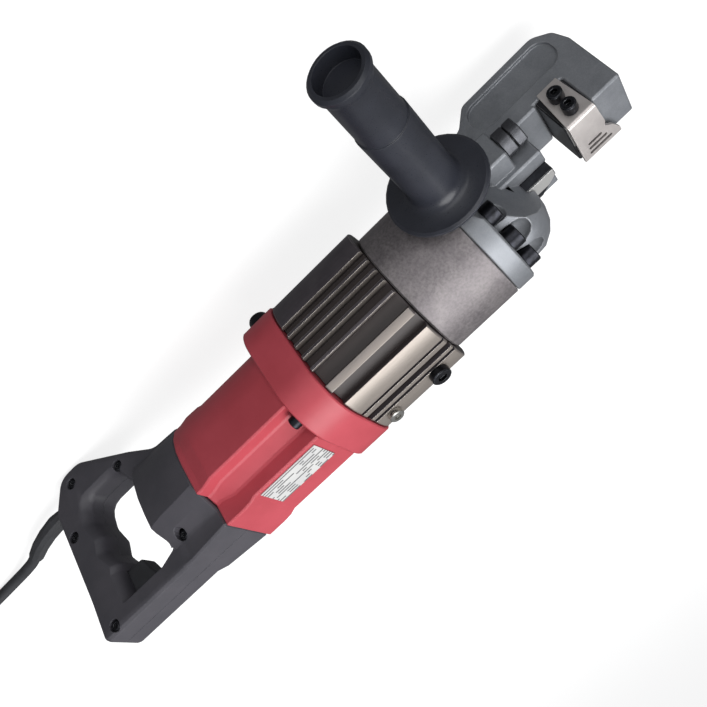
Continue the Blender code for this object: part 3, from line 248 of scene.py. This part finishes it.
# Tool steel, ground: bright faces with fine wheel marks
groundSteel = {
    "colour": "#cfceca", "second": "#bdbcb8", "metallic": 1.0, "roughness": (0.18, 0.32),
    "patch": 8, "grit": 1.4, "stretch": (0.1, 3, 3), "bump": 0.15, "depth": 0.015,
}
# Alloy steel screws, hot black oxide: nearly black with oily gloss and bright corners, part rubbed
# and part painted highlight
blackOxide = {
    "colour": "#26272a", "second": "#33343a", "metallic": 0.9, "roughness": (0.28, 0.42),
    "patch": 3, "grit": 0.4, "bump": 0.15, "depth": 0.02,
    "edge": "#8d8f93", "edgeWidth": 0.35, "edgeAmount": 0.8,
}
# Rolled steel nut and bolt, oiled: mid grey with a dull shine
oiledSteel = {
    "colour": "#4b4c50", "second": "#56575b", "metallic": 0.8, "roughness": (0.30, 0.46),
    "patch": 4, "grit": 0.5, "fleck": 0.15, "bump": 0.25, "depth": 0.03,
    # edge: a paler edge colour, part wear and part painted highlight
    "edge": "#9b9da1", "edgeWidth": 0.4, "edgeAmount": 0.7,
}
# Glass-filled nylon, moulded in red: satin with a faint swirl and a fine sparked grain
redNylon = {
    "colour": "#bc4954", "second": "#b3424c", "metallic": 0.0, "ior": 1.53,
    "roughness": (0.38, 0.50), "patch": 30, "grit": 0.5, "bump": 0.18, "depth": 0.03,
    # edge: a paler edge colour, part wear and part painted highlight
    "edge": "#e35f6b", "edgeWidth": 0.8, "edgeAmount": 0.5,
}
# Glass-filled nylon, moulded in black: charcoal with a soft sheen and a sparked grain
blackNylon = {
    "colour": "#424147", "second": "#4a484e", "metallic": 0.0, "ior": 1.53,
    "roughness": (0.40, 0.56), "patch": 25, "grit": 0.6, "bump": 0.3, "depth": 0.04,
    # edge: a paler edge colour, part wear and part painted highlight
    "edge": "#5b5e66", "edgeWidth": 0.7, "edgeAmount": 0.5,
}
# Polypropylene grip, moulded: slate black with a waxy gloss
blackPolypropylene = {
    "colour": "#272930", "second": "#2f3139", "metallic": 0.0, "ior": 1.49,
    "roughness": (0.26, 0.38), "patch": 28, "grit": 0.8, "bump": 0.15, "depth": 0.03,
    # edge: a paler edge colour, part wear and part painted highlight
    "edge": "#60646c", "edgeWidth": 0.5, "edgeAmount": 0.4,
}
# Plasticised PVC, extruded: dull black, slightly dusty
blackPvc = {
    "colour": "#2b2c2f", "second": "#36373b", "metallic": 0.0, "ior": 1.54,
    "roughness": (0.48, 0.64), "patch": 12, "grit": 0.5, "bump": 0.25, "depth": 0.03,
}
# Copper wire and bars, lacquered: a warm orange brown with a clear shine
lacqueredCopper = {
    "colour": "#b4693f", "second": "#a65c34", "metallic": 1.0, "roughness": (0.25, 0.4),
    "patch": 5, "grit": 0.6, "bump": 0.3, "depth": 0.05,
}
# Brass pins, drawn and tumbled: bright yellow with softened marks
drawnBrass = {
    "colour": "#c9a24f", "second": "#d2ad5c", "metallic": 1.0, "roughness": (0.18, 0.3),
    "patch": 4, "grit": 0.5, "bump": 0.1, "depth": 0.01,
}


def numbered(stem, count):
    return tuple(stem + "_" + str(number) for number in range(1, count + 1))


plainSurfaces = (
    (phosphatedForging, "phosphatedForging", ("head_frame",)),
    (turnedSteel, "turnedSteel", (
        "cylinder_housing", "pump_block", "bearing_plate", "reduction_gear", "stator")),
    (brushedStainless, "brushedStainless", ("guard_plate",)),
    (groundSteel, "groundSteel", (
        "ram", "return_spring", "vent_screw", "pump_plunger", "eccentric_shaft",
        "motor_bearing", "armature_shaft", "trigger_spring", "handle_stud")),
    (blackOxide, "blackOxide", (
        *numbered("cutter_screw", 2), *numbered("head_bolt", 6), "socket_plug",
        *numbered("housing_screw", 2), *numbered("collar_bolt", 2),
        *numbered("handle_screw", 5))),
    (oiledSteel, "oiledSteel", ("stopper_nut", "stopper_bolt")),
    (redNylon, "redNylon", ("collar", "motor_housing")),
    (blackNylon, "blackNylon", ("handle_left", "handle_right", "cooling_fan")),
    (blackPolypropylene, "blackPolypropylene", ("side_handle",)),
    (blackPvc, "blackPvc", (
        "trigger", "switch_body", *numbered("carbon_brush", 2), "strain_relief", "plug_body")),
    (lacqueredCopper, "lacqueredCopper", ("rotor_core", "commutator")),
    (drawnBrass, "drawnBrass", ("plug_pins",)),
)
made = {}
for look, title, names in plainSurfaces:
    made[title] = makeSurface(title, look)
    wear(names, made[title]["material"])

# Die-cast aluminium: an as-cast dark skin on the sides, paler on upward faces from painted top
# light, paler crest edges, part wear and part painted highlight, and painted brown-black shade in
# the grooves
castFins = {
    "colour": "#605b5f", "second": "#565156", "metallic": 0.65, "roughness": (0.36, 0.50),
    "patch": 14, "grit": 2.2, "stretch": (0.12, 3, 3), "fleck": 0.08, "bump": 0.2, "depth": 0.02,
    # edge: paler crest edges, part wear and part painted highlight
    "edge": "#dcd5cf", "edgeWidth": 0.6, "edgeAmount": 1.0,
    # painted top light: a paler colour laid on the faces that look upward
    "paintedTopLight": "#9b938c", "paintedTopLightUp": (0.30, 0.80),  # upward share of the face's normal
    # painted shade: a brown-black colour laid down in the grooves
    "groove": "#3d3635", "grooveRoughness": 0.5,
    "halfWidth": 44, "halfHeight": 45, "corner": 30,  # mm, round the crests
    "crest": (-3.4, -1.2),  # mm, from groove to crest, below the casing's outline
}


def finCasing():
    look = castFins
    parts = makeSurface("castFins", look)
    tree = parts["tree"]
    # Painted top light: the more a face looks upward, the more of the paler colour it gets
    normal = addNode(tree, "TexCoord").outputs["Normal"]
    facing = addNode(tree, "SeparateXYZ", {0: normal}).outputs["Z"]
    low, high = look["paintedTopLightUp"]
    topLightShare = addNode(tree, "MapRange", {
        "Value": facing, "From Min": low, "From Max": high}).outputs[0]
    parts["colour"] = addNode(tree, "Mix", {
        0: topLightShare, 6: parts["colour"], 7: linear(look["paintedTopLight"])}, data_type="RGBA").outputs[2]
    # Painted shade: the deeper a point lies below the crests, the more of the groove colour it gets
    centred = addNode(tree, "VectorMath", {0: parts["where"], 1: toolOrigin},
                      operation="SUBTRACT").outputs[0]
    folded = addNode(tree, "VectorMath", {0: centred}, operation="ABSOLUTE").outputs[0]
    corner = look["corner"]
    inset = (0, (look["halfWidth"] - corner) * mm, (look["halfHeight"] - corner) * mm)
    past = addNode(tree, "VectorMath", {0: folded, 1: inset}, operation="SUBTRACT").outputs[0]
    clipped = addNode(tree, "VectorMath", {0: past, 1: (0, 0, 0)}, operation="MAXIMUM").outputs[0]
    across = addNode(tree, "VectorMath", {0: clipped, 1: (0, 1, 1)},
                     operation="MULTIPLY").outputs[0]
    reach = addNode(tree, "VectorMath", {0: across}, operation="LENGTH").outputs["Value"]
    low, high = look["crest"]
    crest = addNode(tree, "MapRange", {
        "Value": reach, "From Min": (corner + low) * mm,
        "From Max": (corner + high) * mm}).outputs[0]
    parts["colour"] = addNode(tree, "Mix", {
        0: crest, 6: linear(look["groove"]), 7: parts["colour"]}, data_type="RGBA").outputs[2]
    parts["gloss"] = addNode(tree, "Mix", {
        0: crest, 2: look["grooveRoughness"], 3: parts["gloss"]}).outputs[0]
    metal = addNode(tree, "Math", {0: crest, 1: look["metallic"]}, operation="MULTIPLY").outputs[0]
    tree.links.new(metal, parts["shader"].inputs["Metallic"])
    wire(parts)
    wear(("pump_casing",), parts["material"])


# Hardened tool steel: heat-blackened sides, and a pale top beside the cutting faces, part ground
# finish and part painted top light; the top stays dark at Y = -2.8 mm and below
blackenedToolSteel = {
    "colour": "#3b3c3f", "second": "#47484c", "metallic": 0.95, "roughness": (0.3, 0.42),
    "patch": 5, "grit": 0.8, "bump": 0.2, "depth": 0.02,
    # edge: a paler edge colour, part wear and part painted highlight
    "edge": "#c9c9c7", "edgeWidth": 0.5, "edgeAmount": 0.7,
    # the pale top colour, part ground finish and part painted top light
    "groundAndLitTop": "#f2f1ee", "groundRoughness": 0.34,
    "groundAndLitUp": (0.85, 0.95),  # upward share of the face's normal
    "paleFromY": -2.8,  # mm, along Y
}


def cutterBlocks():
    look = blackenedToolSteel
    parts = makeSurface("blackenedToolSteel", look)
    tree = parts["tree"]
    normal = addNode(tree, "TexCoord").outputs["Normal"]
    up = addNode(tree, "SeparateXYZ", {0: normal}).outputs["Z"]
    across = addNode(tree, "SeparateXYZ", {0: parts["where"]}).outputs["Y"]
    # Part ground finish, part painted top light: faces that look up and lie on the +Y side of Y =
    # -2.8 mm turn pale
    low, high = look["groundAndLitUp"]
    groundAndLitTop = addNode(tree, "MapRange", {
        "Value": up, "From Min": low, "From Max": high}).outputs[0]
    strip = addNode(tree, "Math", {0: across, 1: place(0, look["paleFromY"], 0).y},
                    operation="GREATER_THAN").outputs[0]
    groundAndLitTop = addNode(tree, "Math", {0: groundAndLitTop, 1: strip}, operation="MULTIPLY").outputs[0]
    parts["colour"] = addNode(tree, "Mix", {
        0: groundAndLitTop, 6: parts["colour"], 7: linear(look["groundAndLitTop"])}, data_type="RGBA").outputs[2]
    parts["gloss"] = addNode(tree, "Mix", {
        0: groundAndLitTop, 2: parts["gloss"], 3: look["groundRoughness"]}).outputs[0]
    wire(parts)
    wear(("cutter_fixed", "cutter_moving"), parts["material"])


# Polyester film, printed: pale grey with plain dark bars where a maker's data would be
printedFilm = {
    "colour": "#c9c9c9", "second": "#d4d4d2", "metallic": 0.0, "ior": 1.57,
    "roughness": (0.3, 0.4), "patch": 20, "grit": 0.8, "bump": 0.05, "depth": 0.01,
    "bar": "#6f6f70", "pitch": 2.6, "cell": 3.4,  # mm, one row and one break to the next
    "barShare": 0.45,  # of a row's pitch
    "blankShare": 0.35,  # of the cells
}


def ratingLabel():
    look = printedFilm
    parts = makeSurface("printedFilm", look)
    tree = parts["tree"]
    pitch = look["pitch"] * mm
    axes = addNode(tree, "SeparateXYZ", {0: parts["where"]})
    rows = addNode(tree, "Math", {0: axes.outputs["Y"], 1: pitch, 2: 0},
                   operation="WRAP").outputs[0]
    line = addNode(tree, "Math", {0: rows, 1: look["barShare"] * pitch},
                   operation="LESS_THAN").outputs[0]
    spread = addNode(tree, "Mapping", {
        "Vector": parts["where"],
        "Scale": (1 / (look["cell"] * mm), 1 / pitch, 0)}).outputs[0]
    cell = addNode(tree, "VectorMath", {0: spread}, operation="FLOOR").outputs[0]
    chance = addNode(tree, "TexWhiteNoise", {"Vector": cell}).outputs["Value"]
    inked = addNode(tree, "Math", {0: chance, 1: look["blankShare"]},
                    operation="GREATER_THAN").outputs[0]
    mask = addNode(tree, "Math", {0: line, 1: inked}, operation="MULTIPLY").outputs[0]
    parts["colour"] = addNode(tree, "Mix", {
        0: mask, 6: parts["colour"], 7: linear(look["bar"])}, data_type="RGBA").outputs[2]
    wire(parts)
    wear(("label_plate",), parts["material"])


finCasing()
cutterBlocks()
ratingLabel()
print("materials made")

leadSet = {
    "radius": 4.15,
    "spacing": 12,  # between points of the run
    "clear": 0.1,  # above the floor
    "start": (-327.3, -10.6, -66.0),
    "run": ((-328.2, -11.0, -66.1), (-337.0, -14.9, -67.4), (-347.0, -19.0, -70.0),
            (-364.0, -24.2, -73.8), (-390.0, -26.6, -75.3), (-423.0, -26.6, -75.3),
            (-440.0, -26.5, -75.3)),
    "coilCentre": (-455.0, 28.0),
    "pitch": 8.4,  # one turn to the next, and one layer to the next
    "middle": 46.0,  # radius of the middle turn
    "stepAngle": 15,  # degrees
    "steps": 131,
    "inwards": ((300, 360), (660, 720)),  # degrees over which the coil steps one pitch in
    "upwards": (960, 1020),
    "outwards": ((1260, 1320), (1620, 1680)),
    "offTop": ((8, 0), (16, -0.6), (25, -3.2), (34, -5.9)),  # along X, and down from the top layer
    "toPlug": ((44, -3.2), (52, -0.8)),  # along X, and down from the plug's rear
    "plugRear": (-395.3, 82.4, -70.9),
}
restHeight = floorHeight + leadSet["radius"] + leadSet["clear"]


def turnedInto(angle, span, rise):
    start, end = span
    share = min(max((angle - start) / (end - start), 0), 1)
    return rise * share * share * (3 - 2 * share)


def coilPoints():
    # Clockwise from above: three turns inwards on the floor, up, and back out on top of them
    pitch = leadSet["pitch"]
    centreX, centreY = leadSet["coilCentre"]
    points = []
    for step in range(1, leadSet["steps"] + 1):
        angle = step * leadSet["stepAngle"]
        radius = leadSet["middle"] + pitch
        radius -= sum(turnedInto(angle, span, pitch) for span in leadSet["inwards"])
        radius += sum(turnedInto(angle, span, pitch) for span in leadSet["outwards"])
        height = restHeight + turnedInto(angle, leadSet["upwards"], pitch)
        turn = math.radians(-90 - angle)
        points.append((centreX + radius * math.cos(turn), centreY + radius * math.sin(turn),
                       height))
    return points


def smoothed(points, spacing):
    # A curve through every point, shared out evenly between each point and the next
    route = [Vector(point) for point in points]
    ends = [2 * route[0] - route[1]] + route + [2 * route[-1] - route[-2]]
    result = []
    for before, start, end, after in zip(ends, ends[1:], ends[2:], ends[3:]):
        count = max(1, round((end - start).length / spacing))
        square = 2 * before - 5 * start + 4 * end - after
        cube = 3 * start - before - 3 * end + after
        for step in range(count):
            t = step / count
            result.append(0.5 * (2 * start + (end - before) * t + square * t * t + cube * t ** 3))
    return result + [route[-1]]


def mainsLead():
    x, y = leadSet["coilCentre"]
    outer = leadSet["middle"] + leadSet["pitch"]
    top = restHeight + leadSet["pitch"]
    rear = leadSet["plugRear"]
    path = [leadSet["start"], *leadSet["run"], (x, y - outer, restHeight), *coilPoints()]
    path += [(x + along, y + outer, top + drop) for along, drop in leadSet["offTop"]]
    path += [(x + along, y + outer, rear[2] + drop) for along, drop in leadSet["toPlug"]]
    route = smoothed(path + [rear], leadSet["spacing"])
    curve = bpy.data.curves.new("mainsLead", "CURVE")
    curve.dimensions = "3D"
    curve.bevel_depth = leadSet["radius"] * mm
    curve.bevel_resolution = 4
    curve.use_fill_caps = True
    spline = curve.splines.new("POLY")
    spline.points.add(len(route) - 1)
    for target, point in zip(spline.points, route):
        target.co = (*place(*point), 1)
    curve.materials.append(made["blackPvc"]["material"])
    lead = bpy.data.objects.new("mainsLead", curve)
    bpy.context.scene.collection.objects.link(lead)
    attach(lead, "tool_body")
    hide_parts("cord_tube", "cord_coil", "cord_tail")


mainsLead()

floorSet = {
    "halfWidth": 60, "below": 0.0005,  # metres
    "colour": "#959595", "roughness": 0.9,
    "glow": "#ffffff", "glowStrength": 0.82,  # a lit table, so that shadows stay faint
}


def makeFloor():
    shape = bmesh.new()
    bmesh.ops.create_grid(shape, x_segments=2, y_segments=2, size=floorSet["halfWidth"])
    mesh = bpy.data.meshes.new("floor")
    shape.to_mesh(mesh)
    shape.free()
    floor = bpy.data.objects.new("floor", mesh)
    bpy.context.scene.collection.objects.link(floor)
    floor.location = (0, 0, -floorSet["below"])
    material = bpy.data.materials.new("whitePaper")
    material.use_nodes = True
    shader = material.node_tree.nodes["Principled BSDF"]
    shader.inputs["Base Color"].default_value = linear(floorSet["colour"])
    shader.inputs["Roughness"].default_value = floorSet["roughness"]
    shader.inputs["Specular IOR Level"].default_value = 0.0
    shader.inputs["Emission Color"].default_value = linear(floorSet["glow"])
    shader.inputs["Emission Strength"].default_value = floorSet["glowStrength"]
    mesh.materials.append(material)
    floor.visible_diffuse = False  # it catches the shadow but throws no light back
    floor.visible_glossy = False


lightSet = {
    "topPower": 46, "topSize": 1.8, "topFrom": (-100, 40, 1900),
    "fillPower": 9, "fillSize": 1.4, "fillFrom": (350, 1500, 420),
    "aim": (-50, 0, 0),
    "ceiling": "#fbfcff", "sky": 0.36, "below": 0.16,
    "fade": (-0.35, 0.9),  # upward share of the way looked, from below to sky
}


def makeLight(name, power, size, position):
    data = bpy.data.lights.new(name, "AREA")
    data.energy = power
    data.size = size
    light = bpy.data.objects.new(name, data)
    bpy.context.scene.collection.objects.link(light)
    light.location = place(*position)
    light.rotation_mode = "QUATERNION"
    towards = place(*lightSet["aim"]) - light.location
    light.rotation_quaternion = towards.to_track_quat("-Z", "Y")


def makeStudio():
    # A pale ceiling that fades to a dark floor, so that undersides and metal stay deep
    world = bpy.data.worlds.new("studio")
    world.use_nodes = True
    tree = world.node_tree
    way = addNode(tree, "TexCoord").outputs["Generated"]
    height = addNode(tree, "SeparateXYZ", {0: way}).outputs["Z"]
    low, high = lightSet["fade"]
    strength = addNode(tree, "MapRange", {
        "Value": height, "From Min": low, "From Max": high,
        "To Min": lightSet["below"], "To Max": lightSet["sky"]}).outputs[0]
    tree.nodes["Background"].inputs["Color"].default_value = linear(lightSet["ceiling"])
    tree.links.new(strength, tree.nodes["Background"].inputs["Strength"])
    bpy.context.scene.world = world
    bpy.context.scene.view_settings.view_transform = "Standard"


makeFloor()
makeLight("topLight", lightSet["topPower"], lightSet["topSize"], lightSet["topFrom"])
makeLight("fillLight", lightSet["fillPower"], lightSet["fillSize"], lightSet["fillFrom"])
makeStudio()
print("floor and lights made")
